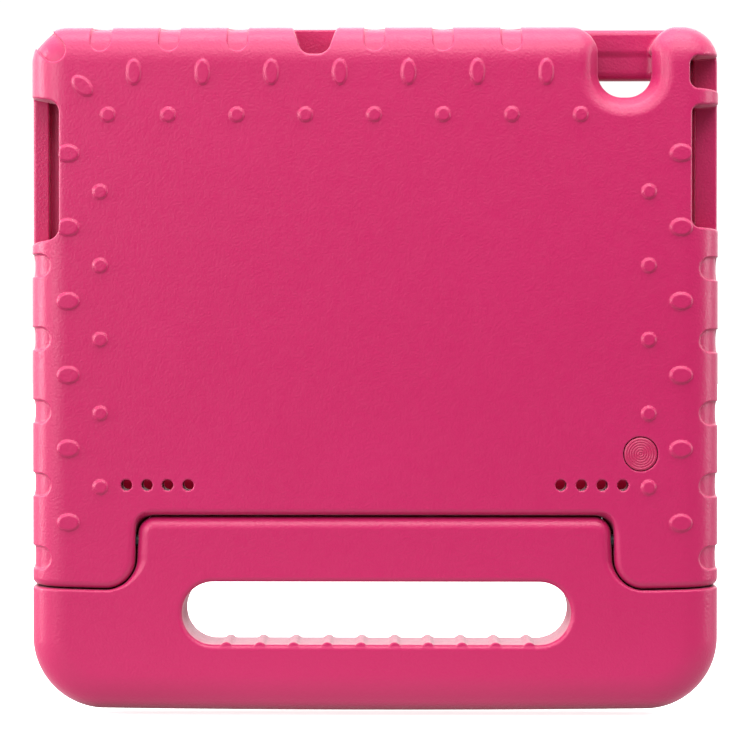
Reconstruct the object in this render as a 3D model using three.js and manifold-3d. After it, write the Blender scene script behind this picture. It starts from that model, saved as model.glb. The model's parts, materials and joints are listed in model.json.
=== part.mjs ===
// A soft foam case for a ten-inch tablet, with a carrying handle that folds back to make a stand.
//
// Millimetres, +Z up. Seen from behind, +X is to the right and +Y points away, to the screen side.
// The origin is under the middle of the handle: x centred, y at half the thickness, z at the
// handle's bottom edge. Outlines are drawn in the X-Z plane and given a thickness along Y.

import * as THREE from 'three';
import { mergeVertices } from 'three/addons/utils/BufferGeometryUtils.js';
import Module from 'manifold-3d';

const wasm = await Module();
wasm.setup();

// The rounded block that the case and its stowed handle fill together.
const WIDTH = 268;
const HEIGHT = 267;
const DEPTH = 28;
const TOP_CORNER_RADIUS = 14.5;
const HANDLE_CORNER_RADIUS = 28;
const BACK_ROUNDING = 11;
const FRONT_ROUNDING = 8;
const BACK = -DEPTH / 2;
const FRONT = DEPTH / 2;
const SIDE = WIDTH / 2;

// The seam between the case and the tongue and shoulders of the handle.
const SEAM_GAP = 1;
const SHOULDER_TOP = 48.1;
const TONGUE_TOP = 76.4;
const TONGUE_FOOT = 92.8;
const TONGUE_HEAD = 91.4;
const FOOT_RADIUS = 11.3;
const HEAD_RADIUS = 6.5;
const HANDLE_EDGE = 5;
const CASE_EDGE = 4;

// The hinge: its axis runs along X inside the top of the tongue, near the back face, so that the
// tongue's rounded back edge clears the case as the handle folds back past a right angle.
const HINGE_Y = BACK + 7;
const HINGE_Z = TONGUE_TOP - 9.4;
const PIN_RADIUS = 2.5;
const PIN_BARB = 1;
const PIN_BARB_PITCH = 4;
const PIN_BARB_LENGTH = 3;
const PIN_BARBS = 2;
const PIN_LEAD = 1;
const PIN_START = TONGUE_HEAD - PIN_BARBS * PIN_BARB_PITCH - 2 * PIN_LEAD;
const PIN_END = TONGUE_HEAD + 20.6;
const PIN_CHAMFER = 0.8;
const BUSH_MOUTH = TONGUE_FOOT + SEAM_GAP;
const BUSH_WALL = 1.4;
const BUSH_PLAY = 0.1;
const BUSH_FLOOR = PIN_END + 1;
const SEAT_GAP = 0.3;

// The pocket that the tablet is pushed into from the front, and the window that shows its screen.
const POCKET_WIDTH = 246;
const POCKET_HEIGHT = 173;
const POCKET_TOP = HEIGHT - 11;
const POCKET_CORNER_RADIUS = 9;
const POCKET_FLOOR = BACK + 10;
const LIP_INSIDE = FRONT - 8.5;
const LIP_OVERLAP = 9;
const LIP_EDGE = 4;
const SCREEN_CORNER_RADIUS = 6;

// The window for the camera, open to the top edge.
const CAMERA_LEFT = 87;
const CAMERA_RIGHT = 107;
const CAMERA_BOTTOM = 239.4;
const CAMERA_CORNER_RADIUS = 8;
const CAMERA_BEVEL = 6;

// Openings in the walls for ports and buttons: [left, right, bottom, top, corner radius]. Cutters
// reach past the faces that they open, some just clear of them and some well beyond.
const CLEAR = 1;
const BEYOND = 10;
const WALL_OPENINGS = [
  [-SIDE - BEYOND, -122, 184.6, 236.7, 2.5],
  [122.5, SIDE + BEYOND, 188.7, 235.3, 2.5],
  [121.7, SIDE + BEYOND, 242.3, 254.3, 2.5],
];
const JACK_X = -23.2;
const JACK_HALF_WIDTH = 6;
const JACK_HALF_MOUTH = 9;
const JACK_FLOOR = POCKET_TOP - 1;
const JACK_CORNER_RADIUS = 3;

// Small holes for the speakers, four on each side.
const SPEAKER_RADIUS = 2.2;
const SPEAKER_FIRST = 72;
const SPEAKER_PITCH = 7.95;
const SPEAKER_COUNT = 4;
const SPEAKER_Z = 88.8;

// The round plug let into the back.
const PLUG_X = 102.7;
const PLUG_Z = 100.9;
const PLUG_RADIUS = 6.5;
const PLUG_DEPTH = 2.2;
const PLUG_RING_PITCH = 1.3;
const PLUG_RING_DEPTH = 0.25;

// The slot for the hand, with cross ribs on its lower wall.
const GRIP_BOTTOM = 26.3;
const GRIP_TOP = 51;
const GRIP_HALF_LENGTH = 75.5;
const GRIP_EDGE = 4;
const RIB_COUNT = 10;
const RIB_PITCH = 12.96;
const RIB_RADIUS = 1.9;
const RIB_HEIGHT = 1.2;

// Rows of raised bumps on the back and of flutes across its edges, at one pitch along the top and
// another down the sides. Bumps are [length, width], with the length square to the edge. Each row
// runs at an inset from the edge it follows; the rows down the sides start at a height.
const TOP_PITCH = 26.5;
const SIDE_PITCH = 28.5;
const TOP_COUNT = 7;
const SIDE_OVAL_COUNT = 6;
const SIDE_COUNT = 5;
const TOP_OVAL_INSET = 18.9;
const TOP_ROUND_INSET = 35.3;
const SIDE_OVAL_INSET = 15.8;
const SIDE_ROUND_INSET = 28.2;
const SIDE_OVAL_START = 216.8;
const SIDE_ROUND_START = 202;
const SIDE_FLUTE_START = 173.5;
const CORNER_OVAL_INSET = [21.5, 24.2];
const CORNER_ROUND_X = -102.7;
const BUMP_RISE = 1.1;
const TOP_OVAL = [10, 5.6];
const SIDE_OVAL = [8.5, 6.5];
const ROUND_BUMP = [5.6, 5.6];
const CORNER_OVAL = [9.5, 5.5];
const FLUTE_WIDTH = 8;
const FLUTE_DEPTH = 1;
const CORNER_FLUTE_DEPTH = 2.2;

// How finely curves are cut into flats.
const ARC_SEGMENTS = 3;
const EDGE_SEGMENTS = 4;
const TURNED_SEGMENTS = 18;
const SMALL_SEGMENTS = 8;
const DOME_RINGS = 4;
const FLUTE_SEGMENTS = 16;
const FLUTE_STEPS = 7;

const foam = new THREE.MeshStandardMaterial({ color: 0xcf2f63, roughness: 0.62, metalness: 0 });
const firmFoam = new THREE.MeshStandardMaterial({ color: 0xc62c5e, roughness: 0.55, metalness: 0 });
const pinPlastic = new THREE.MeshStandardMaterial({ color: 0x26262a, roughness: 0.4, metalness: 0 });
const bushPlastic = new THREE.MeshStandardMaterial({ color: 0xe8e4da, roughness: 0.5, metalness: 0 });

// Makes a solid that can be joined and cut out of a closed geometry.
function solid(geometry) {
  geometry.deleteAttribute('normal');
  geometry.deleteAttribute('uv');
  const merged = mergeVertices(geometry, 1e-4);
  return new wasm.Manifold(new wasm.Mesh({
    numProp: 3,
    vertProperties: merged.attributes.position.array,
    triVerts: new Uint32Array(merged.index.array),
  }));
}

function joined(solids) {
  return solids.reduce((whole, next) => whole.add(next));
}

// Makes the named mesh of a finished solid.
function piece(name, body, material) {
  const { vertProperties, triVerts } = body.getMesh();
  const geometry = new THREE.BufferGeometry();
  geometry.setAttribute('position', new THREE.BufferAttribute(vertProperties, 3));
  geometry.setIndex(new THREE.BufferAttribute(triVerts, 1));
  geometry.computeVertexNormals();
  const mesh = new THREE.Mesh(geometry, material);
  mesh.name = name;
  return mesh;
}

// A closed outline through corners [x, z, radius], anticlockwise, with an arc at each round corner.
function outline(corners) {
  const shape = new THREE.Shape();
  corners.forEach(([x, z, radius = 0], i) => {
    if (radius === 0) {
      const drawTo = i === 0 ? 'moveTo' : 'lineTo';
      shape[drawTo](x, z);
      return;
    }
    const corner = new THREE.Vector2(x, z);
    const toBefore = new THREE.Vector2(...corners.at(i - 1)).sub(corner).normalize();
    const toAfter = new THREE.Vector2(...corners[(i + 1) % corners.length]).sub(corner).normalize();
    const halfAngle = toBefore.angleTo(toAfter) / 2;
    const inward = toBefore.clone().add(toAfter).setLength(radius / Math.sin(halfAngle));
    const tangent = radius / Math.tan(halfAngle);
    const start = toBefore.clone().setLength(tangent).sub(inward).angle();
    const end = toAfter.clone().setLength(tangent).sub(inward).angle();
    const clockwise = toBefore.cross(toAfter) > 0;
    shape.absarc(x + inward.x, z + inward.y, radius, start, end, clockwise);
  });
  return shape;
}

// Completes an outline from the corners of its right half, listed from the bottom up.
function symmetricOutline(rightCorners) {
  const leftCorners = rightCorners.toReversed().map(([x, z, radius]) => [-x, z, radius]);
  return outline([...rightCorners, ...leftCorners]);
}

function rectangle(left, right, bottom, top, radius) {
  return outline([
    [left, bottom, radius],
    [right, bottom, radius],
    [right, top, radius],
    [left, top, radius],
  ]);
}

// Gives an outline a thickness along Y. A positive rounding rounds both edges off within the
// outline. A negative one flares them out beyond it, so that what it cuts gets round edges.
function slab(shape, back, front, rounding = 0) {
  const reach = Math.abs(rounding);
  const geometry = new THREE.ExtrudeGeometry(shape, {
    depth: front - back - 2 * reach,
    curveSegments: ARC_SEGMENTS,
    bevelEnabled: reach > 0,
    bevelThickness: reach,
    bevelSize: rounding,
    bevelOffset: -rounding,
    bevelSegments: EDGE_SEGMENTS,
  });
  geometry.rotateX(Math.PI / 2);
  geometry.translate(0, front - reach, 0);
  return solid(geometry);
}

// The block that the case and the handle are both parts of.
function block() {
  const shape = symmetricOutline([
    [SIDE, 0, HANDLE_CORNER_RADIUS],
    [SIDE, HEIGHT, TOP_CORNER_RADIUS],
  ]);
  const roundedBack = slab(shape, BACK, FRONT + DEPTH, BACK_ROUNDING);
  const roundedFront = slab(shape, BACK - DEPTH, FRONT, FRONT_ROUNDING);
  return roundedBack.intersect(roundedFront);
}

// Everything below the seam: the handle's outline, grown by a gap.
function belowSeam(gap) {
  return symmetricOutline([
    [SIDE + BEYOND, -BEYOND],
    [SIDE + BEYOND, SHOULDER_TOP + gap],
    [TONGUE_FOOT + gap, SHOULDER_TOP + gap, FOOT_RADIUS - gap],
    [TONGUE_HEAD + gap, TONGUE_TOP + gap, HEAD_RADIUS + gap],
  ]);
}

// A turned part on the hinge's axis, from [radius, distance from the middle plane] points.
// side is 1 for the right end of the tongue and -1 for the left.
function turned(profile, side) {
  const points = profile.map(([radius, along]) => new THREE.Vector2(radius, along));
  const geometry = new THREE.LatheGeometry(points, TURNED_SEGMENTS);
  geometry.rotateZ(-side * Math.PI / 2);
  geometry.translate(0, HINGE_Y, HINGE_Z);
  return solid(geometry);
}

// A pivot pin: barbs that hold it in the tongue, then the smooth end that turns in the leg.
function pin(side, gap = 0) {
  const radius = PIN_RADIUS + gap;
  const barbs = [];
  for (let i = 0; i < PIN_BARBS; i += 1) {
    const foot = PIN_START + PIN_LEAD + i * PIN_BARB_PITCH;
    barbs.push(
      [radius, foot - gap],
      [radius + PIN_BARB, foot + PIN_BARB_LENGTH + gap],
      [radius, foot + PIN_BARB_LENGTH + gap],
    );
  }
  return turned([
    [0, PIN_START - gap],
    [radius, PIN_START - gap],
    ...barbs,
    [radius, PIN_END - PIN_CHAMFER],
    [radius - PIN_CHAMFER, PIN_END],
    [0, PIN_END],
  ], side);
}

// A plastic sleeve with a closed end, in the leg of the case, that the pin turns in.
function bush(side) {
  const bore = PIN_RADIUS + BUSH_PLAY;
  return turned([
    [0, BUSH_FLOOR],
    [bore, BUSH_FLOOR],
    [bore, BUSH_MOUTH],
    [bore + BUSH_WALL, BUSH_MOUTH],
    [bore + BUSH_WALL, BUSH_FLOOR + BUSH_WALL],
    [0, BUSH_FLOOR + BUSH_WALL],
  ], side);
}

function bushSocket(side) {
  const radius = PIN_RADIUS + BUSH_PLAY + BUSH_WALL + SEAT_GAP;
  const end = BUSH_FLOOR + BUSH_WALL + SEAT_GAP;
  return turned([
    [0, TONGUE_HEAD - BEYOND],
    [radius, TONGUE_HEAD - BEYOND],
    [radius, end],
    [0, end],
  ], side);
}

// A low oval dome on the back face, turned about Y by an angle from upright.
function bump(x, z, [length, width], angle = 0) {
  const geometry = new THREE.SphereGeometry(1, SMALL_SEGMENTS, DOME_RINGS);
  geometry.scale(width / 2, BUMP_RISE, length / 2);
  geometry.rotateY(angle);
  geometry.translate(x, BACK, z);
  return solid(geometry);
}

// Both rows of bumps, the outer row of ovals and the inner row of round ones.
function bumps() {
  const ovalZ = HEIGHT - TOP_OVAL_INSET;
  const roundZ = HEIGHT - TOP_ROUND_INSET;
  const sideOvalX = SIDE - SIDE_OVAL_INSET;
  const sideRoundX = SIDE - SIDE_ROUND_INSET;
  const [cornerX, cornerZ] = CORNER_OVAL_INSET;
  const all = [
    bump(cornerX - SIDE, HEIGHT - cornerZ, CORNER_OVAL, -Math.PI / 4),
    bump(CORNER_ROUND_X, roundZ, ROUND_BUMP),
  ];
  for (let i = 0; i < TOP_COUNT; i += 1) {
    all.push(bump((i - TOP_COUNT / 2) * TOP_PITCH, ovalZ, TOP_OVAL));
    all.push(bump((i - (TOP_COUNT - 1) / 2) * TOP_PITCH, roundZ, ROUND_BUMP));
  }
  for (const side of [-1, 1]) {
    for (let i = 0; i < SIDE_OVAL_COUNT; i += 1) {
      all.push(bump(side * sideOvalX, SIDE_OVAL_START - i * SIDE_PITCH, SIDE_OVAL, Math.PI / 2));
    }
    for (let i = 0; i < SIDE_COUNT; i += 1) {
      all.push(bump(side * sideRoundX, SIDE_ROUND_START - i * SIDE_PITCH, ROUND_BUMP));
    }
  }
  return joined(all);
}

// The cutter for one flute, as if across the top edge at x = 0: a round bar that is bent over the
// edge's rounding, standing clear of the surface so that only its underside cuts.
function fluteCutter() {
  const barRadius = (FLUTE_WIDTH ** 2 / 4 + FLUTE_DEPTH ** 2) / (2 * FLUTE_DEPTH);
  const bendRadius = BACK_ROUNDING + barRadius - FLUTE_DEPTH;
  const bendY = BACK + BACK_ROUNDING;
  const bendZ = HEIGHT - BACK_ROUNDING;
  const path = [];
  for (let i = 0; i <= 6; i += 1) {
    const angle = (i / 6) * Math.PI / 2;
    const y = bendY - bendRadius * Math.cos(angle);
    path.push(new THREE.Vector3(0, y, bendZ + bendRadius * Math.sin(angle)));
  }
  path.push(new THREE.Vector3(0, LIP_INSIDE, bendZ + bendRadius));
  const bar = new THREE.ExtrudeGeometry(new THREE.Shape().absarc(0, 0, barRadius, 0, 2 * Math.PI), {
    curveSegments: FLUTE_SEGMENTS / 2,
    steps: FLUTE_STEPS,
    extrudePath: new THREE.CatmullRomCurve3(path),
  });
  const roundEnd = new THREE.SphereGeometry(barRadius, FLUTE_SEGMENTS, FLUTE_SEGMENTS / 2);
  roundEnd.translate(...path[0]);
  return solid(bar).add(solid(roundEnd));
}

// All the flutes: along the top edge, over its left corner, and down both sides between the
// openings and the seam.
function flutes() {
  const across = fluteCutter();
  const atOrigin = across.translate([0, 0, -HEIGHT]);
  const deeper = CORNER_FLUTE_DEPTH - FLUTE_DEPTH;
  const cornerReach = (TOP_CORNER_RADIUS - deeper) * Math.SQRT1_2;
  const cornerX = -SIDE + TOP_CORNER_RADIUS - cornerReach;
  const cornerZ = HEIGHT - TOP_CORNER_RADIUS + cornerReach;
  const all = [-4, -3, -2, 0, 1, 2].map((i) => across.translate([i * TOP_PITCH, 0, 0]));
  all.push(atOrigin.rotate([0, -45, 0]).translate([cornerX, 0, cornerZ]));
  for (const side of [-1, 1]) {
    const overSide = atOrigin.rotate([0, side * 90, 0]);
    for (let i = 0; i < SIDE_COUNT; i += 1) {
      all.push(overSide.translate([side * SIDE, 0, SIDE_FLUTE_START - i * SIDE_PITCH]));
    }
  }
  return joined(all);
}

// The pocket for the tablet and the screen window in front of it.
function tabletSpace() {
  const halfWidth = POCKET_WIDTH / 2;
  const bottom = POCKET_TOP - POCKET_HEIGHT;
  const pocket = rectangle(-halfWidth, halfWidth, bottom, POCKET_TOP, POCKET_CORNER_RADIUS);
  const halfScreen = halfWidth - LIP_OVERLAP;
  const screen = rectangle(
    -halfScreen,
    halfScreen,
    bottom + LIP_OVERLAP,
    POCKET_TOP - LIP_OVERLAP,
    SCREEN_CORNER_RADIUS,
  );
  return slab(pocket, POCKET_FLOOR, LIP_INSIDE).add(slab(screen, LIP_INSIDE - LIP_EDGE, FRONT, -LIP_EDGE));
}

// The camera's window: a U with a wide bevel at the back, cut no deeper than the front lip.
function cameraWindow() {
  const shape = outline([
    [CAMERA_LEFT, CAMERA_BOTTOM, CAMERA_CORNER_RADIUS],
    [CAMERA_RIGHT, CAMERA_BOTTOM, CAMERA_CORNER_RADIUS],
    [CAMERA_RIGHT, HEIGHT + BEYOND],
    [CAMERA_LEFT, HEIGHT + BEYOND],
  ]);
  const bevelled = slab(shape, BACK, LIP_INSIDE + 2 * CAMERA_BEVEL, -CAMERA_BEVEL);
  const behindLip = slab(rectangle(0, SIDE, 0, HEIGHT + 2 * BEYOND, 1), BACK, LIP_INSIDE);
  return bevelled.intersect(behindLip);
}

// The side openings and the tapered jack opening in the top edge.
function wallOpenings() {
  const jack = outline([
    [JACK_X - JACK_HALF_WIDTH, JACK_FLOOR, JACK_CORNER_RADIUS],
    [JACK_X + JACK_HALF_WIDTH, JACK_FLOOR, JACK_CORNER_RADIUS],
    [JACK_X + JACK_HALF_MOUTH, HEIGHT + CLEAR],
    [JACK_X - JACK_HALF_MOUTH, HEIGHT + CLEAR],
  ]);
  const shapes = [jack, ...WALL_OPENINGS.map((sizes) => rectangle(...sizes))];
  return joined(shapes.map((shape) => slab(shape, BACK - CLEAR, LIP_INSIDE)));
}

function speakerHoles() {
  const length = POCKET_FLOOR - BACK + 2 * CLEAR;
  const holes = [];
  for (const side of [-1, 1]) {
    for (let i = 0; i < SPEAKER_COUNT; i += 1) {
      const hole = new THREE.CylinderGeometry(SPEAKER_RADIUS, SPEAKER_RADIUS, length, SMALL_SEGMENTS);
      const x = side * (SPEAKER_FIRST + i * SPEAKER_PITCH);
      hole.translate(x, BACK - CLEAR + length / 2, SPEAKER_Z);
      holes.push(solid(hole));
    }
  }
  return joined(holes);
}

// Places a part turned about Y so that its foot is at a depth in the back face under the plug.
function atPlug(geometry, depth) {
  geometry.rotateX(Math.PI);
  geometry.translate(PLUG_X, BACK + depth, PLUG_Z);
  return solid(geometry);
}

function plugSocket() {
  const radius = PLUG_RADIUS + SEAT_GAP;
  const depth = PLUG_DEPTH + SEAT_GAP;
  const geometry = new THREE.CylinderGeometry(radius, radius, 2 * depth, TURNED_SEGMENTS);
  return atPlug(geometry, 0);
}

// The plug: a flat disc with fine concentric grooves in its face.
function gatePlug() {
  const halfGroove = PLUG_RING_DEPTH;
  const profile = [[0, 0], [PLUG_RADIUS, 0], [PLUG_RADIUS, PLUG_DEPTH]];
  for (let ring = PLUG_RADIUS - PLUG_RING_PITCH; ring > PLUG_RING_PITCH; ring -= PLUG_RING_PITCH) {
    profile.push([ring + halfGroove, PLUG_DEPTH]);
    profile.push([ring, PLUG_DEPTH - PLUG_RING_DEPTH]);
    profile.push([ring - halfGroove, PLUG_DEPTH]);
  }
  profile.push([0, PLUG_DEPTH]);
  const points = profile.map(([radius, height]) => new THREE.Vector2(radius, height));
  return atPlug(new THREE.LatheGeometry(points, TURNED_SEGMENTS), PLUG_DEPTH);
}

function caseBody() {
  return block()
    .subtract(slab(belowSeam(SEAM_GAP), BACK, FRONT, -CASE_EDGE))
    .subtract(flutes())
    .add(bumps())
    .subtract(tabletSpace())
    .subtract(cameraWindow())
    .subtract(wallOpenings())
    .subtract(speakerHoles())
    .subtract(plugSocket())
    .subtract(bushSocket(-1))
    .subtract(bushSocket(1));
}

// The cross ribs on the lower wall of the grip, each a rounded bar sunk into the wall.
function gripRibs() {
  const ribs = [];
  for (let i = 0; i < RIB_COUNT; i += 1) {
    const straight = DEPTH - 2 * GRIP_EDGE - 2 * RIB_RADIUS;
    const rib = new THREE.CapsuleGeometry(RIB_RADIUS, straight, 2, SMALL_SEGMENTS);
    rib.translate((i - (RIB_COUNT - 1) / 2) * RIB_PITCH, 0, GRIP_BOTTOM + RIB_HEIGHT - RIB_RADIUS);
    ribs.push(solid(rib));
  }
  return joined(ribs);
}

function handle() {
  const gripRadius = (GRIP_TOP - GRIP_BOTTOM) / 2;
  const grip = symmetricOutline([
    [GRIP_HALF_LENGTH, GRIP_BOTTOM, gripRadius],
    [GRIP_HALF_LENGTH, GRIP_TOP, gripRadius],
  ]);
  return block()
    .intersect(slab(belowSeam(0), BACK, FRONT, HANDLE_EDGE))
    .subtract(slab(grip, BACK, FRONT, -GRIP_EDGE))
    .add(gripRibs())
    .subtract(pin(-1, SEAT_GAP))
    .subtract(pin(1, SEAT_GAP));
}

const group = new THREE.Group();
group.add(
  piece('case_body', caseBody(), foam),
  piece('gate_plug', gatePlug(), firmFoam),
  piece('handle', handle(), foam),
  piece('pivot_pin_left', pin(-1), pinPlastic),
  piece('pivot_pin_right', pin(1), pinPlastic),
  piece('pivot_bush_left', bush(-1), bushPlastic),
  piece('pivot_bush_right', bush(1), bushPlastic),
);

export default group;
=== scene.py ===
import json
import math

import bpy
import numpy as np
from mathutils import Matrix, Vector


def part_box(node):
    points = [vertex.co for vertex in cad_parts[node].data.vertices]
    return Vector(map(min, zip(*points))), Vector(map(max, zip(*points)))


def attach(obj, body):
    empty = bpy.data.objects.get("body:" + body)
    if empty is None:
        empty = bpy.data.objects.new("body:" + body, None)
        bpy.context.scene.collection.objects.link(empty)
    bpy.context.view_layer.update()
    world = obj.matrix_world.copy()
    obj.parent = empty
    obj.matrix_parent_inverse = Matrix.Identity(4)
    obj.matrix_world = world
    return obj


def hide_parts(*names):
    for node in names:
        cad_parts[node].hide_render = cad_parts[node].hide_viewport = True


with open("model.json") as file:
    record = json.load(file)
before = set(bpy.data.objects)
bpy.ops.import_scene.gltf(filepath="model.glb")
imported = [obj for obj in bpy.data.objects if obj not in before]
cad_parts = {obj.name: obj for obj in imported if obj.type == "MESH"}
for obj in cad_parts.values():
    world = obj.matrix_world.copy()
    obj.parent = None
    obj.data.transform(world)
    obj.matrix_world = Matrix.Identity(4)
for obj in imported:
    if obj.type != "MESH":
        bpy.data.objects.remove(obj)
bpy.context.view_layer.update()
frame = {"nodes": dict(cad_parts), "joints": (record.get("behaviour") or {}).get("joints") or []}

# A soft foam tablet case with a fold-back handle, built round its CAD frame.
#
# The foam pieces are modelled as distance fields: functions of x, y and z in millimetres that are
# negative inside the foam. A field makes every moulded edge truly round, and one mesher turns each
# field into a mesh. Seen from behind, +X is to the right, +Y points to the screen and +Z is up.

MM = 0.001


def corners_mm(node):
    """The lowest and highest corners of a CAD node, in millimetres."""
    low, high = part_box(node)
    return np.array(low) / MM, np.array(high) / MM


case_low, case_high = corners_mm("case_body")
handle_low, handle_high = corners_mm("handle")
plug_low, plug_high = corners_mm("gate_plug")
pin_low, pin_high = corners_mm("pivot_pin_right")
bush_low, bush_high = corners_mm("pivot_bush_right")

# Places and sizes that follow from the frame, in millimetres.
SIDE = float(case_high[0])
TOP = float(case_high[2])
BACK = float(handle_low[1])
FRONT = float(handle_high[1])
LEG_BOTTOM = float(case_low[2])
TONGUE_TOP = float(handle_high[2])
PLUG_X, PLUG_Z = (float(c) for c in ((plug_low + plug_high) / 2)[::2])
PLUG_RADIUS = float(plug_high[0] - plug_low[0]) / 2
HINGE_Y, HINGE_Z = (c / MM for c in frame["joints"][0]["pos_m"][1:])
FOLD_LIMIT = math.radians(frame["joints"][0]["range_deg"][1])

# The rounded block that the case and the stowed handle fill together.
TOP_CORNER = 14.5
FOOT_CORNER = 28.0
BACK_ROUNDING = 16.0
BACK_SOFTNESS = 2.4
FRONT_ROUNDING = 8.0
FOOT_BOW = 1.0

# The seam round the tongue and over the shoulders of the handle.
SEAM_GAP_BACK = 0.5
SEAM_GAP_FRONT = 0.08
SHOULDER_TOP = LEG_BOTTOM - 1.0
SHOULDER_RISE = 1.0
TONGUE_FOOT = 92.8
TONGUE_HEAD = 91.4
FOOT_FILLET = 11.3
HEAD_ROUNDING = 6.5
TONGUE_EDGE = 4.8
SHOULDER_EDGE = 1.1
CASE_EDGE = 3.0

# The room round the hinge's pins and sleeves.
HINGE_PLAY = 0.3
HINGE_EDGE = 0.3

# The room in the case's edge for the tongue when the handle is folded back. Little of the play is
# left at the tongue's lower end, where the handle's edge is sharper than the shape that is cut.
FOLD_PLAY = 0.3
FOLD_EDGE = 0.6

# The pocket for the tablet, the lip in front of it and the window for its screen.
WALL = 11.0
POCKET_BOTTOM = 83.0
POCKET_CORNER = 9.0
POCKET_FLOOR = BACK + 10.0
LIP_INSIDE = FRONT - 8.5
LIP_OVERLAP = 9.0
LIP_EDGE = 3.5
SCREEN_CORNER = 6.0
FLOOR_THICKNESS = 4.0
HIDDEN_EDGE = 0.5

# The camera's window: a U open to the top edge, funnelled out towards the back.
CAMERA_X = 97.0
CAMERA_HALF_WIDTH = 10.0
CAMERA_BOTTOM = 239.4
CAMERA_CORNER = 9.0
CAMERA_EDGE = 2.8
MOUTH_REACH = 11.0
MOUTH_FLARE = 0.06
FUNNEL_SPREAD = 5.4
FUNNEL_DEPTH = 7.0
FUNNEL_SOFTNESS = 1.6

# Openings through the side walls, which the lip still crosses in front.
# Each widens outwards, and is deeper beside the tablet than through the wall.
SIDE_OPENINGS = [
    {"side": -1, "inner": 122.0, "step": 5.8, "bottom": 184.6, "top": 236.7, "corner": 3.8,
     "flare": 0.2},
    {"side": 1, "inner": 122.5, "step": 2.8, "bottom": 188.7, "top": 235.3, "corner": 2.8,
     "flare": 0.08},
    {"side": 1, "inner": 121.7, "step": 2.8, "bottom": 242.3, "top": 254.3, "corner": 3.2,
     "flare": 0.06},
]
OPENING_EDGE = 1.0
OPENING_SHALLOWER = 3.5
OPENING_DEEPER = 0.5

# The tapered opening in the top edge.
JACK_X = -23.2
JACK_FLOOR = 255.3
JACK_HALF_WIDTH = 5.0
JACK_FLARE = 0.31
JACK_CORNER = 3.5

# The speaker holes, four on each side.
SPEAKER_RADIUS = 2.15
SPEAKER_FIRST = 72.0
SPEAKER_PITCH = 7.95
SPEAKER_COUNT = 4
SPEAKER_Z = 88.8
SPEAKER_EDGE = 0.5

# The gate plug: rings on its face, and a narrow groove round it.
PLUG_PLAY = 0.3
PLUG_EDGE = 0.4
PLUG_RING_PITCH = 0.95
PLUG_RING_HEIGHT = 0.2

# The moulded pattern: flutes over the edges, then a row of ovals, then a row of round bumps.
# An oval's two half sizes are along x and z; the corner's oval is turned by 45 degrees. Places are
# the first and last in a row, in pitches from the middle; ovals stand half a pitch further right.
TOP_PITCH = 26.5
TOP_FLUTE_PLACES = (-4, 2)
TOP_OVAL_PLACES = (-4, 2)
TOP_ROUND_PLACES = (-3, 3)
JACK_PLACE = -1
SIDE_PITCH = 28.5
FLUTE_DEPTH = 1.0
FLUTE_FRONT = 6.0
FLUTE_EDGE = 0.45
TOP_FLUTE = {"half": 4.0, "reach": 10.6}
LEFT_FLUTE = {"half": 4.4, "reach": 8.8, "start": 173.8, "pitch": 28.35}
RIGHT_FLUTE = {"half": 4.5, "reach": 8.6, "start": 172.5, "pitch": 28.0}
CORNER_FLUTE = {"half": 4.7, "reach": 13.0}
CORNER_FLUTE_DEPTH = 2.2
SIDE_ROWS = 5
SIDE_OVAL_ROWS = 6
SIDE_OVAL_Z = 216.8
SIDE_ROUND_Z = 202.0
TOP_OVAL = (2.8, 4.9)
SIDE_OVAL = (4.3, 3.3)
CORNER_OVAL = (4.8, 2.9)
CORNER_OVAL_INSET = (21.5, 24.2)
CORNER_ROUND_INSET = 31.3
ROUND_RADIUS = 2.8
OVAL_INSET = 18.9
SIDE_OVAL_INSET = 15.8
ROUND_INSET = 35.3
SIDE_ROUND_INSET = 28.2
BUMP_RISE = 0.9
BUMP_EDGE = 1.0
BUMP_FILLET = 0.45

# The hand slot and the cross ribs on its lower wall.
GRIP_X = 0.7
GRIP_BOTTOM = 27.0
GRIP_TOP = 51.3
GRIP_HALF_LENGTH = 75.2
GRIP_EDGE = 2.0
RIB_COUNT = 10
RIB_PITCH = 13.02
RIB_X = 1.3
RIB_RADIUS = 2.4
RIB_HEIGHT = 1.0
RIB_END = 0.5
RIB_EDGE = 0.4

# Meshing, in millimetres: the spacing of the field's samples, how far the grid goes past the box in
# spacings, the step that slopes are measured over, and how far edges and creases are felt for.
STEP = 0.55
PLUG_STEP = 0.2
GRID_MARGIN = 2.3
NUDGE = 0.05
FEELER = 0.9

# Floors that keep a division by a slope or a length safe.
LEAST_STEEPNESS = 0.05
TINY = 1e-9

# The most triangles that a piece keeps.
TRIANGLES = 190_000

# Colours, as linear red, green and blue.
FOAM_PINK = (0.45, 0.0065, 0.092)
DEEP_PINK = (0.38, 0.0035, 0.066)
# The paler pink of convex edges is partly wear and partly a painted highlight.
WORN_AND_LIT_EDGE_PINK = (0.56, 0.03, 0.14)
SHADOW_PINK = (0.16, 0.001, 0.018)
PLUG_PINK = (0.43, 0.009, 0.078)
NYLON_GREY = (0.035, 0.035, 0.04)
ACETAL_WHITE = (0.72, 0.71, 0.68)
FLOOR_WHITE = (0.9, 0.9, 0.9)

# The raw values of noise and of cells that count as 0 and as 1.
NOISE_RANGE = (0.3, 0.7)
CELL_RANGE = (0.7, 0.1)

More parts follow.
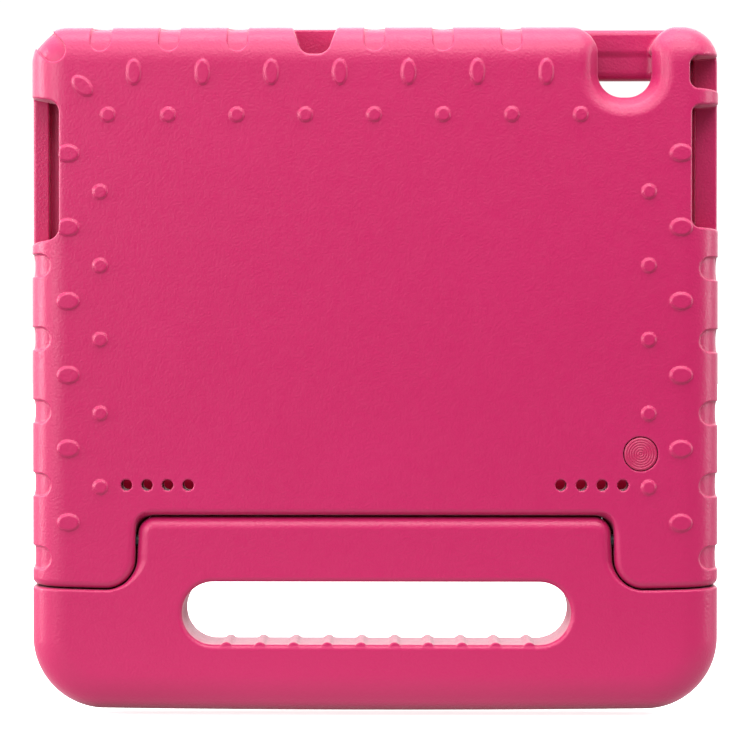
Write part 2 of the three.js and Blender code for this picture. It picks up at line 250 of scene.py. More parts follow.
# The foam's look. A noise is its size in millimetres, its detail and its roughness; a strength is
# how much of a tint is laid on; depths and reaches are in millimetres.
MOTTLE = (70, 2, 0.5)
SPECKLE = (1.8, 3, 0.6)
PORES = (0.45, 2, 0.6)
SMEARS = (3, 3, 0.6)
GRAIN_SIZE = 0.9
MOTTLE_STRENGTH = 0.8
SPECKLE_STRENGTH = 0.12
# Convex edges are laid paler, partly wear and partly a painted highlight.
EDGE_WEAR_AND_HIGHLIGHT = 0.2
# Creases are laid darker, partly dust and partly painted shade.
CREASE_DUST_AND_SHADE = 0.2
FOAM_GRAIN_DEPTH = 0.05
PLUG_GRAIN_DEPTH = 0.02
PORE_SHARE = 1 / 3
FOAM_ROUGHNESS = (0.36, 0.44)
FOAM_SPECULAR = 0.5
SHEEN = 0.22
SHEEN_ROUGHNESS = 0.35
SHEEN_TINT = (1.0, 0.85, 0.9)
SHELTER_REACH = 12
SHELTER_RANGE = (0.06, 0.42)
SHELTER_SAMPLES = 6

# The plastic's look, in the same terms.
PLASTIC_TINT = (2.5, 3, 0.6)
PLASTIC_MARKS = (0.3, 2, 0.5)
PLASTIC_SMEARS = (1.5, 2, 0.5)
PLASTIC_SHADE = 0.85
PLASTIC_MARK_DEPTH = 0.01
PLASTIC_ROUGHNESS = (0.32, 0.42)

# The floor, in metres: its extent, and a glow that fades away from the foot of the case.
FLOOR_HALF_WIDTH = 6.0
FLOOR_NEAR = -4.0
FLOOR_FAR = 8.0
FLOOR_DROP = -0.0015
FLOOR_TO_LIGHT = (0.1, 0.1, 0.1)
FLOOR_MOTTLE = (120, 2, 0.5)
FLOOR_MOTTLE_GREY = (0.5, 0.5, 0.5)
FLOOR_MOTTLE_STRENGTH = 0.02
FLOOR_ROUGHNESS = 0.9
FLOOR_GLOW_COLOUR = (1.0, 1.0, 1.0)
GLOW_REACH = (0.05, 0.35)
GLOW_STRENGTH = (0.85, 0.1)
SEEN_GLOW = 0.75

# The camera looks at the back of the case, nearly square on.
CAMERA_PLACE = (0.01, -0.95, 0.143)
CAMERA_TARGET = (0.0001, 0, 0.1312)
CAMERA_LENS = 116.5

# Light from all round grows from dim to bright towards one side: behind, above and to the left.
BRIGHT_SIDE = (-0.4, 0.5, 0.75)
DIM_LIGHT = 0.15
BRIGHT_LIGHT = 2.3
LIGHT_RAMP = (-0.5, 0.9)
WHITE_BEHIND = 1.05

# The softboxes, all aimed at the middle of the case: metres and watts.
SOFTBOXES = [
    {"name": "softbox_front_left", "place": (-0.6, -0.7, 0.35), "width": 0.3, "height": 0.5, "power": 3.2},
    {"name": "softbox_front_above", "place": (0.15, -0.4, 0.65), "width": 0.8, "height": 0.25, "power": 3},
    {"name": "softbox_above", "place": (0, -0.1, 1.0), "width": 1.0, "height": 0.3, "power": 5},
    {"name": "softbox_left", "place": (-1.0, -0.05, 0.3), "width": 0.3, "height": 0.8, "power": 8.5},
    {"name": "softbox_right", "place": (1.0, -0.05, 0.3), "width": 0.3, "height": 0.8, "power": 5},
]


# ---- joining and cutting fields ----------------------------------------------------------------


def both(a, b, radius, power=2):
    """What is inside a and b, its edge rounded: to a radius, or softer at its ends with more power."""
    a_part = np.maximum(a + radius, 0)
    b_part = np.maximum(b + radius, 0)
    if power == 2:
        corner = np.hypot(a_part, b_part)
    else:
        corner = (a_part**power + b_part**power) ** (1 / power)
    return np.minimum(np.maximum(a, b), -radius) + corner


def either(a, b, radius):
    """What is inside a or b, with a fillet of a radius where they meet."""
    return -both(-a, -b, radius)


def without(a, b, radius):
    """a with b cut out of it, the edge of the cut rounded to a radius."""
    return both(a, -b, radius)


def rectangle(u, v, half_u, half_v, radius):
    """A rectangle centred on u = v = 0, with round corners."""
    du = np.abs(u) - half_u + radius
    dv = np.abs(v) - half_v + radius
    outside = np.hypot(np.maximum(du, 0), np.maximum(dv, 0))
    return outside + np.minimum(np.maximum(du, dv), 0) - radius


def oval(u, v, half_u, half_v):
    """An ellipse centred on u = v = 0, close to a true distance near its outline."""
    ratio = np.hypot(u / half_u, v / half_v)
    slope = np.hypot(u / half_u**2, v / half_v**2)
    return ratio * (ratio - 1) / np.maximum(slope, 0.001)


def nearest(value, pitch, first, last):
    """The nearest whole number of pitches to a value, from first to last."""
    return np.clip(np.round(value / pitch), first, last)


# ---- the outer form ----------------------------------------------------------------------------


def block(x, y, z):
    """The whole outer form, without the seam."""
    middle = TOP / 2
    bow = np.where(z < middle, FOOT_BOW * (x / SIDE) ** 2, 0)
    radius = np.where(z < middle, FOOT_CORNER, TOP_CORNER)
    outline = rectangle(x, z - bow - middle, SIDE, middle, radius)
    rounded_back = both(outline, BACK - y, BACK_ROUNDING, BACK_SOFTNESS)
    return both(rounded_back, y - FRONT, FRONT_ROUNDING)


def seam_gap(y):
    """The gap in the seam: open behind the hinge, and nearly closed in front."""
    forward = np.clip((y - HINGE_Y) / -HINGE_Y, 0, 1)
    return SEAM_GAP_BACK + (SEAM_GAP_FRONT - SEAM_GAP_BACK) * forward**2 * (3 - 2 * forward)


def below_seam(x, z):
    """The outline of the handle's side of the seam."""
    rise = np.clip((z - SHOULDER_TOP) / (TONGUE_TOP - SHOULDER_TOP), 0, 1)
    half_width = TONGUE_FOOT + (TONGUE_HEAD - TONGUE_FOOT) * rise
    tongue = both(np.abs(x) - half_width, z - TONGUE_TOP, HEAD_ROUNDING)
    outwards = np.clip((np.abs(x) - TONGUE_FOOT) / (SIDE - TONGUE_FOOT), 0, 1)
    return either(tongue, z - SHOULDER_TOP - SHOULDER_RISE * outwards**2, FOOT_FILLET)


def folded_tongue(x, y, z):
    """The tongue where it stands when the handle is folded back to its limit."""
    behind = y - HINGE_Y
    above = z - HINGE_Z
    stowed_y = HINGE_Y + math.cos(FOLD_LIMIT) * behind - math.sin(FOLD_LIMIT) * above
    stowed_z = HINGE_Z + math.sin(FOLD_LIMIT) * behind + math.cos(FOLD_LIMIT) * above
    return both(block(x, stowed_y, stowed_z), below_seam(x, stowed_z), TONGUE_EDGE)


# ---- the moulded pattern -----------------------------------------------------------------------


def flute(across, inward, y, size):
    """The outline of one flute that runs over an edge, with a round end on the back and the front."""
    past_back_end = np.maximum(inward - size["reach"] + size["half"], 0)
    past_front_end = np.maximum(y - FLUTE_FRONT + size["half"], 0)
    return np.sqrt(across**2 + past_back_end**2 + past_front_end**2) - size["half"]


def edge_flutes(x, y, z):
    """The outlines of the flutes on three edges; there is none where the tapered opening is."""
    place = nearest(x, TOP_PITCH, *TOP_FLUTE_PLACES)
    across = np.where(place == JACK_PLACE, SIDE, x - place * TOP_PITCH)
    top = flute(across, TOP - z, y, TOP_FLUTE)
    sides = []
    for inward, size in ((SIDE + x, LEFT_FLUTE), (SIDE - x, RIGHT_FLUTE)):
        below = size["start"] - z
        across = below - nearest(below, size["pitch"], 0, SIDE_ROWS - 1) * size["pitch"]
        sides.append(flute(across, inward, y, size))
    return np.minimum(top, np.minimum(*sides))


def corner_flute(x, y, z):
    """The outline of the flute over the left-hand top corner, and the depth of its flat floor."""
    u = x + SIDE - TOP_CORNER
    v = z - TOP + TOP_CORNER
    inward = TOP_CORNER - (v - u) / math.sqrt(2)
    return flute((u + v) / math.sqrt(2), inward, y, CORNER_FLUTE), CORNER_FLUTE_DEPTH - inward


def ovals(x, z):
    """The outlines of the outer row of bumps, each with its length square to the edge."""
    place = nearest(x - TOP_PITCH / 2, TOP_PITCH, *TOP_OVAL_PLACES) + 0.5
    top = oval(x - place * TOP_PITCH, z - TOP + OVAL_INSET, *TOP_OVAL)
    row = nearest(SIDE_OVAL_Z - z, SIDE_PITCH, 0, SIDE_OVAL_ROWS - 1)
    along = np.abs(x) - SIDE + SIDE_OVAL_INSET
    sides = oval(along, z - SIDE_OVAL_Z + row * SIDE_PITCH, *SIDE_OVAL)
    u = x + SIDE - CORNER_OVAL_INSET[0]
    v = z - TOP + CORNER_OVAL_INSET[1]
    corner = oval((v - u) / math.sqrt(2), (u + v) / math.sqrt(2), *CORNER_OVAL)
    return np.minimum(np.minimum(top, sides), corner)


def round_bumps(x, z):
    """The outlines of the inner row of bumps."""
    place = nearest(x, TOP_PITCH, *TOP_ROUND_PLACES)
    top = np.hypot(x - place * TOP_PITCH, z - TOP + ROUND_INSET)
    row = nearest(SIDE_ROUND_Z - z, SIDE_PITCH, 0, SIDE_ROWS - 1)
    along = np.abs(x) - SIDE + SIDE_ROUND_INSET
    sides = np.hypot(along, z - SIDE_ROUND_Z + row * SIDE_PITCH)
    corner = np.hypot(x + SIDE - CORNER_ROUND_INSET, z - TOP + ROUND_INSET)
    return np.minimum(np.minimum(top, sides), corner) - ROUND_RADIUS


# ---- openings ----------------------------------------------------------------------------------


def pocket(x, y, z, inset, corner):
    """The pocket's outline, drawn in by an inset."""
    middle = (POCKET_BOTTOM + TOP - WALL) / 2
    half_height = (TOP - WALL - POCKET_BOTTOM) / 2
    return rectangle(x, z - middle, SIDE - WALL - inset, half_height - inset, corner)


def tablet_space(x, y, z):
    """The room for the tablet, between the floor and the lip."""
    depth = np.maximum(POCKET_FLOOR - y, y - LIP_INSIDE)
    return both(pocket(x, y, z, 0, POCKET_CORNER), depth, HIDDEN_EDGE)


def screen_window(x, y, z):
    """The window through the lip."""
    return np.maximum(pocket(x, y, z, LIP_OVERLAP, SCREEN_CORNER), POCKET_FLOOR + FLOOR_THICKNESS - y)


def camera_window(x, y, z):
    """The camera's U and its funnel, as deep as the inside of the lip."""
    half_height = TOP - CAMERA_BOTTOM
    half_width = CAMERA_HALF_WIDTH + MOUTH_FLARE * np.maximum(z - TOP + MOUTH_REACH, 0) ** 2
    outline = rectangle(x - CAMERA_X, z - TOP, half_width, half_height, CAMERA_CORNER)
    steepest = FUNNEL_SPREAD / FUNNEL_DEPTH
    into_funnel = BACK + FUNNEL_DEPTH - y
    softened = np.hypot(into_funnel, FUNNEL_SOFTNESS)
    spread = steepest * (into_funnel + softened) / 2
    slope = steepest * (1 + into_funnel / softened) / 2
    return both((outline - spread) / np.hypot(1, slope), y - LIP_INSIDE, HIDDEN_EDGE)


def side_opening(x, y, z, opening):
    """One opening through a side wall, with a step in its depth."""
    outwards = x * opening["side"]
    half_width = SIDE - opening["inner"]
    half_height = (opening["top"] - opening["bottom"]) / 2
    widening = opening["flare"] * np.maximum(outwards - opening["inner"], 0)
    outline = rectangle(outwards - SIDE, z - opening["bottom"] - half_height,
                        half_width, half_height + widening, opening["corner"])
    shallow = both(outline, y - LIP_INSIDE + OPENING_SHALLOWER, HIDDEN_EDGE)
    inner_part = np.maximum(outline, outwards - opening["inner"] - opening["step"])
    deep = both(inner_part, y - LIP_INSIDE - OPENING_DEEPER, HIDDEN_EDGE)
    return either(shallow, deep, HIDDEN_EDGE)


def jack_opening(x, y, z):
    """The tapered opening in the top edge, as deep as the inside of the lip."""
    half_width = JACK_HALF_WIDTH + JACK_FLARE * np.maximum(z - JACK_FLOOR, 0)
    outline = both(np.abs(x - JACK_X) - half_width, JACK_FLOOR - z, JACK_CORNER)
    return both(outline, y - LIP_INSIDE, HIDDEN_EDGE)


def speaker_holes(x, y, z):
    """The two rows of small round holes into the pocket."""
    place = nearest(np.abs(x) - SPEAKER_FIRST, SPEAKER_PITCH, 0, SPEAKER_COUNT - 1)
    across = np.abs(x) - SPEAKER_FIRST - place * SPEAKER_PITCH
    hole = np.hypot(across, z - SPEAKER_Z) - SPEAKER_RADIUS
    return np.maximum(hole, y - POCKET_FLOOR - FLOOR_THICKNESS)


def hinge_hole(x, y, z, start, low, high):
    """The hole for a pin or bush, from start outwards, given the corners of the right-hand one."""
    radius = float(high[2] - low[2]) / 2 + HINGE_PLAY
    reach = np.maximum(start - np.abs(x), np.abs(x) - float(high[0])) - HINGE_PLAY
    return np.maximum(np.hypot(y - HINGE_Y, z - HINGE_Z) - radius, reach)


# ---- the pieces --------------------------------------------------------------------------------


def case_field(x, y, z):
    """The case's foam."""
    foam = block(x, y, z)
    corner_outline, corner_floor = corner_flute(x, y, z)
    corner_floor = both(foam + FLUTE_DEPTH, corner_floor, FLUTE_DEPTH)
    for outline, floor in ((edge_flutes(x, y, z), foam + FLUTE_DEPTH), (corner_outline, corner_floor)):
        foam = both(foam, either(-outline, floor, FLUTE_EDGE), FLUTE_EDGE)
    bumps = np.minimum(ovals(x, z), round_bumps(x, z))
    height = np.maximum(BACK - BUMP_RISE - y, y - BACK - BUMP_RISE)
    foam = either(foam, both(bumps, height, BUMP_EDGE), BUMP_FILLET)
    foam = without(foam, below_seam(x, z) - seam_gap(y), CASE_EDGE)
    foam = without(foam, folded_tongue(x, y, z) - FOLD_PLAY, FOLD_EDGE)
    foam = without(foam, tablet_space(x, y, z), HIDDEN_EDGE)
    foam = without(foam, screen_window(x, y, z), LIP_EDGE)
    foam = without(foam, camera_window(x, y, z), CAMERA_EDGE)
    for opening in SIDE_OPENINGS:
        foam = without(foam, side_opening(x, y, z, opening), OPENING_EDGE)
    foam = without(foam, jack_opening(x, y, z), OPENING_EDGE)
    foam = without(foam, speaker_holes(x, y, z), SPEAKER_EDGE)
    plug_room = np.hypot(x - PLUG_X, z - PLUG_Z) - PLUG_RADIUS - PLUG_PLAY
    foam = without(foam, np.maximum(plug_room, y - float(plug_high[1]) - PLUG_PLAY), PLUG_EDGE)
    return without(foam, hinge_hole(x, y, z, TONGUE_HEAD, bush_low, bush_high), HINGE_EDGE)


def handle_field(x, y, z):
    """The handle's foam."""
    above_shoulder = np.clip((z - SHOULDER_TOP) / FOOT_FILLET, 0, 1)
    edge = SHOULDER_EDGE + (TONGUE_EDGE - SHOULDER_EDGE) * above_shoulder
    foam = both(block(x, y, z), below_seam(x, z), edge)
    half_height = (GRIP_TOP - GRIP_BOTTOM) / 2
    grip = rectangle(x - GRIP_X, z - GRIP_BOTTOM - half_height,
                     GRIP_HALF_LENGTH, half_height, half_height)
    foam = without(foam, grip, GRIP_EDGE)
    along = x - RIB_X
    place = nearest(along - RIB_PITCH / 2, RIB_PITCH, -RIB_COUNT / 2, RIB_COUNT / 2 - 1) + 0.5
    below_top = z - GRIP_BOTTOM - RIB_HEIGHT + RIB_RADIUS
    round_bar = np.hypot(along - place * RIB_PITCH, below_top) - RIB_RADIUS
    rib = both(round_bar, np.maximum(BACK + RIB_END - y, y - FRONT + RIB_END), RIB_EDGE)
    foam = either(foam, rib, RIB_EDGE)
    return without(foam, hinge_hole(x, y, z, float(pin_low[0]), pin_low, pin_high), HINGE_EDGE)


def plug_field(x, y, z):
    """The plug left in the mould's gate: a disc with fine rings on its back."""
    radius = np.hypot(x - PLUG_X, z - PLUG_Z)
    ring = PLUG_RING_HEIGHT * (1 - np.cos(2 * math.pi * radius / PLUG_RING_PITCH)) / 2
    disc = both(radius - PLUG_RADIUS, float(plug_low[1]) + ring - y, PLUG_EDGE)
    return both(disc, y - float(plug_high[1]), PLUG_EDGE)


# ---- meshing -----------------------------------------------------------------------------------


def gradient(field, points):
    """The field's slope at each point, by central differences."""
    slopes = []
    for axis in range(3):
        ahead = points.copy()
        behind = points.copy()
        ahead[:, axis] += NUDGE
        behind[:, axis] -= NUDGE
        slopes.append((field(*ahead.T) - field(*behind.T)) / (2 * NUDGE))
    return np.stack(slopes, axis=1)


def settled(field, points, rounds, limit):
    """The points moved onto the field's surface, none of them by more than a limit in a round."""
    for _ in range(rounds):
        slope = gradient(field, points)
        steepness = np.maximum((slope**2).sum(axis=1), LEAST_STEEPNESS)
        move = -(field(*points.T) / steepness)[:, None] * slope
        length = np.maximum(np.linalg.norm(move, axis=1, keepdims=True), TINY)
        points = points + move * np.minimum(1, limit / length)
    return points


def sampled(field, low, high, step):
    """The field's values on a grid round a box, and the grid's first corner."""
    margin = GRID_MARGIN * step
    axes = [np.arange(a - margin, b + margin + step, step) for a, b in zip(low, high)]
    grid = np.meshgrid(*(a.astype(np.float32) for a in axes), indexing="ij", sparse=True)
    return field(*grid), np.array([a[0] for a in axes])


def net_points(values, cells):
    """A point in each cell: the mean of the places where the surface crosses the cell's edges."""
    total = np.zeros((len(cells), 3))
    crossings = np.zeros((len(cells), 1))
    for along in np.eye(3, dtype=int):
        across = [axis for axis in np.eye(3, dtype=int) if axis @ along == 0]
        for i in (0, 1):
            for j in (0, 1):
                start = i * across[0] + j * across[1]
                first = values[tuple((cells + start).T)]
                second = values[tuple((cells + start + along).T)]
                crossed = (first < 0) != (second < 0)
                share = first / np.where(crossed, first - second, 1)
                place = start + share[:, None] * along
                total += np.where(crossed[:, None], place, 0)
                crossings += crossed[:, None]
    return cells + total / crossings


def net_quads(inside, index):
    """A quad round each grid edge that the surface crosses, facing out of the foam."""
    quads = []
    for axis in range(3):
        along, left, right = (np.eye(3, dtype=int)[(axis + turn) % 3] for turn in range(3))
        start = inside[tuple(slice(0, n - a) for n, a in zip(inside.shape, along))]
        end = inside[tuple(slice(a, None) for a in along)]
        ring = [-left - right, -right, 0 * along, -left]
        for outwards, corners in ((True, ring), (False, ring[::-1])):
            edges = np.argwhere((start == outwards) & (end != outwards))
            quads.append(np.stack([index[tuple((edges + c).T)] for c in corners], axis=1))
    return np.concatenate(quads)


def surface_net(field, low, high, step):
    """The points and quads of a mesh round the field's surface, one point to each cell it crosses."""
    values, origin = sampled(field, low, high, step)
    inside = values < 0
    corners = [(i, j, k) for i in (0, 1) for j in (0, 1) for k in (0, 1)]
    shape = np.array(inside.shape) - 1
    count = sum(inside[tuple(slice(c, n + c) for c, n in zip(corner, shape))].astype(np.uint8)
                for corner in corners)
    crossed = (count > 0) & (count < 8)
    cells = np.argwhere(crossed)
    index = np.full(crossed.shape, -1, dtype=np.int32)
    index[crossed] = np.arange(len(cells))
    return origin + net_points(values, cells) * step, net_quads(inside, index)


def thinned(mesh, triangles):
    """The mesh brought down to a number of triangles, which flat stretches give up first."""
    ratio = triangles / (2 * len(mesh.polygons))
    if ratio >= 1:
        return mesh
    carrier = bpy.data.objects.new("thinning", mesh)
    bpy.context.scene.collection.objects.link(carrier)
    carrier.modifiers.new("thin", "DECIMATE").ratio = ratio
    shown = carrier.evaluated_get(bpy.context.evaluated_depsgraph_get())
    thin = bpy.data.meshes.new_from_object(shown)
    bpy.data.objects.remove(carrier)
    return thin


def store(mesh, name, values):
    """Keeps a value for each point of the mesh, for its material to read."""
    attribute = mesh.attributes.new(name, "FLOAT", "POINT")
    attribute.data.foreach_set("value", values.astype(np.float32))


def moulded(name, field, low, high, step):
    """A piece made from a field, shaded with the field's own normals.

    Its material reads "edge" and "crease": how far the foam falls away from, or closes in on, a
    flat surface at each point."""
    points, quads = surface_net(field, low, high, step)
    points = settled(field, points, 2, step / 2)
    mesh = bpy.data.meshes.new(name)
    mesh.from_pydata(points * MM, [], quads)
    mesh = thinned(mesh, TRIANGLES)
    mesh.name = name
    points = np.empty(3 * len(mesh.vertices))
    mesh.vertices.foreach_get("co", points)
    points = settled(field, points.reshape(-1, 3) / MM, 1, step / 4)
    mesh.vertices.foreach_set("co", (points * MM).ravel())
    slope = gradient(field, points)
    normals = slope / np.maximum(np.linalg.norm(slope, axis=1, keepdims=True), TINY)
    mesh.polygons.foreach_set("use_smooth", np.ones(len(mesh.polygons), dtype=bool))
    mesh.normals_split_custom_set_from_vertices(normals)
    store(mesh, "edge", 1 + field(*(points - FEELER * normals).T) / FEELER)
    store(mesh, "crease", 1 - field(*(points + FEELER * normals).T) / FEELER)
    mesh.update()
    piece = bpy.data.objects.new(name, mesh)
    bpy.context.scene.collection.objects.link(piece)
    return piece


# ---- materials ---------------------------------------------------------------------------------


class Look:
    """A procedural material being put together: each call adds a node and gives its output."""

    def __init__(self, name):
        self.material = bpy.data.materials.new(name)
        self.material.use_nodes = True
        self.tree = self.material.node_tree
        self.shader = self.tree.nodes["Principled BSDF"]
        self.place = self.node("ShaderNodeTexCoord", {}, "Object")

    def fill(self, node, inputs):
        """Joins each input that is given an output, and sets the others."""
        for name, value in inputs.items():
            if isinstance(value, bpy.types.NodeSocket):
                self.tree.links.new(value, node.inputs[name])
            elif isinstance(value, tuple):
                node.inputs[name].default_value = (*value, 1)
            else:
                node.inputs[name].default_value = value

    def node(self, kind, inputs, output, **settings):
        """A new node with its inputs and settings filled in; gives one of its outputs."""
        node = self.tree.nodes.new(kind)
        for name, value in settings.items():
            setattr(node, name, value)
        self.fill(node, inputs)
        return node.outputs[output]

    def noise(self, size, detail, roughness):
        """Noise whose features are about a size in millimetres, from 0 to 1."""
        inputs = {"Vector": self.place, "Scale": 1 / (size * MM), "Detail": detail,
                  "Roughness": roughness}
        noise = self.node("ShaderNodeTexNoise", inputs, "Fac")
        return self.stretch(noise, *NOISE_RANGE)

    def cells(self, size):
        """Rounded cells about a size in millimetres across, highest in the middle."""
        inputs = {"Vector": self.place, "Scale": 1 / (size * MM), "Smoothness": 1.0}
        distance = self.node("ShaderNodeTexVoronoi", inputs, "Distance", feature="SMOOTH_F1")
        return self.stretch(distance, *CELL_RANGE)

    def stretch(self, value, low, high):
        """A value scaled so that low becomes 0 and high becomes 1."""
        inputs = {"Value": value, "From Min": low, "From Max": high}
        return self.node("ShaderNodeMapRange", inputs, "Result")

    def between(self, value, low, high):
        """A value from 0 to 1 turned into one from low to high."""
        inputs = {"Value": value, "To Min": low, "To Max": high}
        return self.node("ShaderNodeMapRange", inputs, "Result")

    def scaled(self, value, factor):
        """A value times a factor, kept from 0 to 1."""
        return self.node("ShaderNodeMath", {0: value, 1: factor}, 0, operation="MULTIPLY", use_clamp=True)

    def mix(self, factor, first, second):
        """A colour between two, by a factor."""
        return self.node("ShaderNodeMix", {0: factor, 6: first, 7: second}, 2, data_type="RGBA")

    def openness(self, distance):
        """1 in the open, falling to 0 where foam stands all round within a distance."""
        inputs = {"Distance": distance * MM}
        return self.node("ShaderNodeAmbientOcclusion", inputs, "AO", samples=SHELTER_SAMPLES)

    def stored(self, name):
        """A value that the mesh keeps for each of its points."""
        return self.node("ShaderNodeAttribute", {}, "Fac", attribute_name=name)

    def bump(self, height, depth, beneath=None):
        """A bump of a depth in millimetres, over another one if that is given."""
        inputs = {"Height": height, "Distance": depth * MM, "Strength": 1.0}
        if beneath is not None:
            inputs["Normal"] = beneath
        return self.node("ShaderNodeBump", inputs, "Normal")

    def finish(self, **inputs):
        """Fills in the surface's inputs, and gives the finished material."""
        self.fill(self.shader, {name.replace("_", " "): value for name, value in inputs.items()})
        return self.material


def foam_look(name, colour, grain_depth):
    """Moulded closed-cell foam: an orange-peel grain, uneven colour and a soft pale bloom."""
    look = Look(name)
    mottle = look.noise(*MOTTLE)
    tone = look.mix(mottle, DEEP_PINK, colour)
    tone = look.mix(look.scaled(mottle, MOTTLE_STRENGTH), colour, tone)
    tone = look.mix(look.scaled(look.noise(*SPECKLE), SPECKLE_STRENGTH), tone, DEEP_PINK)
    # Convex edges are laid paler: partly wear, partly a painted highlight.
    tone = look.mix(look.scaled(look.stored("edge"), EDGE_WEAR_AND_HIGHLIGHT), tone, WORN_AND_LIT_EDGE_PINK)
    # Creases and the feet of bumps are laid darker: partly dust, partly painted shade.
    tone = look.mix(look.scaled(look.stored("crease"), CREASE_DUST_AND_SHADE), tone, DEEP_PINK)
    in_the_open = look.stretch(look.openness(SHELTER_REACH), *SHELTER_RANGE)
    tone = look.mix(in_the_open, SHADOW_PINK, tone)
    grain = look.bump(look.cells(GRAIN_SIZE), grain_depth)
    pores = look.bump(look.noise(*PORES), grain_depth * PORE_SHARE, grain)
    roughness = look.between(look.noise(*SMEARS), *FOAM_ROUGHNESS)
    return look.finish(Base_Color=tone, Roughness=roughness, Normal=pores,
                       Specular_IOR_Level=look.scaled(in_the_open, FOAM_SPECULAR),
                       Sheen_Weight=look.scaled(in_the_open, SHEEN),
                       Sheen_Roughness=SHEEN_ROUGHNESS, Sheen_Tint=SHEEN_TINT)


def plastic_look(name, colour):
    """Turned plastic: fine marks round the axis, and a faintly uneven colour."""
    look = Look(name)
    darker = tuple(PLASTIC_SHADE * c for c in colour)
    tone = look.mix(look.noise(*PLASTIC_TINT), colour, darker)
    marks = look.bump(look.noise(*PLASTIC_MARKS), PLASTIC_MARK_DEPTH)
    roughness = look.between(look.noise(*PLASTIC_SMEARS), *PLASTIC_ROUGHNESS)
    return look.finish(Base_Color=tone, Roughness=roughness, Normal=marks)


def floor_look(name):
    """A plain pale floor that fades into the white behind it, and lights the foot of the case."""
    look = Look(name)
    seen = look.node("ShaderNodeLightPath", {}, "Is Camera Ray")
    tone = look.mix(seen, FLOOR_TO_LIGHT, FLOOR_WHITE)
    mottle = look.scaled(look.noise(*FLOOR_MOTTLE), FLOOR_MOTTLE_STRENGTH)
    tone = look.mix(mottle, tone, FLOOR_MOTTLE_GREY)
    away = look.node("ShaderNodeVectorMath", {0: look.place}, "Value", operation="LENGTH")
    near_glow = look.between(look.stretch(away, *GLOW_REACH), *GLOW_STRENGTH)
    glow = look.node("ShaderNodeMix", {0: seen, 2: near_glow, 3: SEEN_GLOW}, 0)
    return look.finish(Base_Color=tone, Roughness=FLOOR_ROUGHNESS, Emission_Color=FLOOR_GLOW_COLOUR,
                       Emission_Strength=glow)


# ---- the studio --------------------------------------------------------------------------------


def add_floor():
    """A wide pale floor just under the foot of the case."""
    mesh = bpy.data.meshes.new("floor")
    corners = [(-FLOOR_HALF_WIDTH, FLOOR_NEAR, FLOOR_DROP), (FLOOR_HALF_WIDTH, FLOOR_NEAR, FLOOR_DROP),
               (FLOOR_HALF_WIDTH, FLOOR_FAR, FLOOR_DROP), (-FLOOR_HALF_WIDTH, FLOOR_FAR, FLOOR_DROP)]
    mesh.from_pydata(corners, [], [(0, 1, 2, 3)])
    mesh.materials.append(floor_look("floor"))
    floor = bpy.data.objects.new("floor", mesh)
    bpy.context.scene.collection.objects.link(floor)


def aimed(item, place, target):
    """Puts a camera or lamp at a place, pointing at a target."""
    item.location = place
    item.rotation_euler = (Vector(target) - Vector(place)).to_track_quat("-Z", "Y").to_euler()
    bpy.context.scene.collection.objects.link(item)


def add_camera():
    """The camera that the case is seen through at rest."""
    data = bpy.data.cameras.new("camera")
    data.lens = CAMERA_LENS
    camera = bpy.data.objects.new("camera", data)
    aimed(camera, CAMERA_PLACE, CAMERA_TARGET)
    bpy.context.scene.camera = camera


def add_softbox(name, place, width, height, power):
    """A rectangular lamp aimed at the middle of the case."""
    data = bpy.data.lights.new(name, "AREA")
    data.shape = "RECTANGLE"
    data.size = width
    data.size_y = height
    data.energy = power
    aimed(bpy.data.objects.new(name, data), place, (0, 0, TOP * MM / 2))


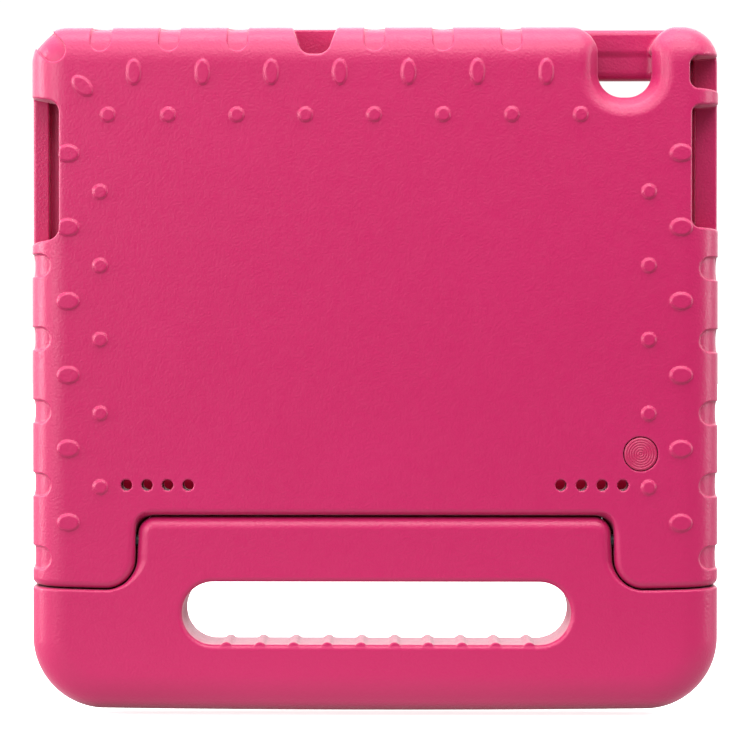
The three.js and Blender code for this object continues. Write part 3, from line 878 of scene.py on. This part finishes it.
def add_surroundings():
    """A white background for the camera, and soft light that is strongest behind, above and left."""
    world = bpy.data.worlds.new("studio")
    world.use_nodes = True
    bpy.context.scene.world = world
    tree = world.node_tree
    background = tree.nodes["Background"]
    direction = tree.nodes.new("ShaderNodeTexCoord").outputs["Generated"]
    towards = tree.nodes.new("ShaderNodeVectorMath")
    towards.operation = "DOT_PRODUCT"
    towards.inputs[1].default_value = Vector(BRIGHT_SIDE).normalized()
    tree.links.new(direction, towards.inputs[0])
    light = tree.nodes.new("ShaderNodeMapRange")
    light.interpolation_type = "SMOOTHSTEP"
    light.inputs["From Min"].default_value = LIGHT_RAMP[0]
    light.inputs["From Max"].default_value = LIGHT_RAMP[1]
    light.inputs["To Min"].default_value = DIM_LIGHT
    light.inputs["To Max"].default_value = BRIGHT_LIGHT
    tree.links.new(towards.outputs["Value"], light.inputs["Value"])
    shown = tree.nodes.new("ShaderNodeMix")
    tree.links.new(tree.nodes.new("ShaderNodeLightPath").outputs["Is Camera Ray"], shown.inputs[0])
    tree.links.new(light.outputs["Result"], shown.inputs[2])
    shown.inputs[3].default_value = WHITE_BEHIND
    tree.links.new(shown.outputs[0], background.inputs["Strength"])
    background.inputs["Color"].default_value = (1, 1, 1, 1)


def add_studio():
    """A pale floor, a white surround, and softboxes in front, above, to the left and to the right."""
    add_floor()
    add_surroundings()
    for softbox in SOFTBOXES:
        add_softbox(**softbox)
    bpy.context.scene.view_settings.view_transform = "Standard"


# ---- putting it together -----------------------------------------------------------------------


def add_foam(name, field, low, high, step, node, body, look):
    """A moulded piece that stands for a CAD node and moves with its body."""
    piece = moulded(name, field, low, high, step)
    piece.data.materials.append(look)
    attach(piece, body)
    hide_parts(node)


def finish_plastic(nodes, look):
    """Gives CAD nodes whose shape is right a better material."""
    for node in nodes:
        materials = frame["nodes"][node].data.materials
        materials.clear()
        materials.append(look)


foam = foam_look("moulded_foam", FOAM_PINK, FOAM_GRAIN_DEPTH)
add_foam("case_foam", case_field, case_low, case_high, STEP, "case_body", "case", foam)
add_foam("handle_foam", handle_field, handle_low, handle_high, STEP, "handle", "handle", foam)
add_foam("gate_plug_foam", plug_field, plug_low, plug_high, PLUG_STEP, "gate_plug", "case",
         foam_look("firm_foam", PLUG_PINK, PLUG_GRAIN_DEPTH))
finish_plastic(["pivot_pin_left", "pivot_pin_right"], plastic_look("pin_plastic", NYLON_GREY))
finish_plastic(["pivot_bush_left", "pivot_bush_right"], plastic_look("bush_plastic", ACETAL_WHITE))
add_studio()
add_camera()
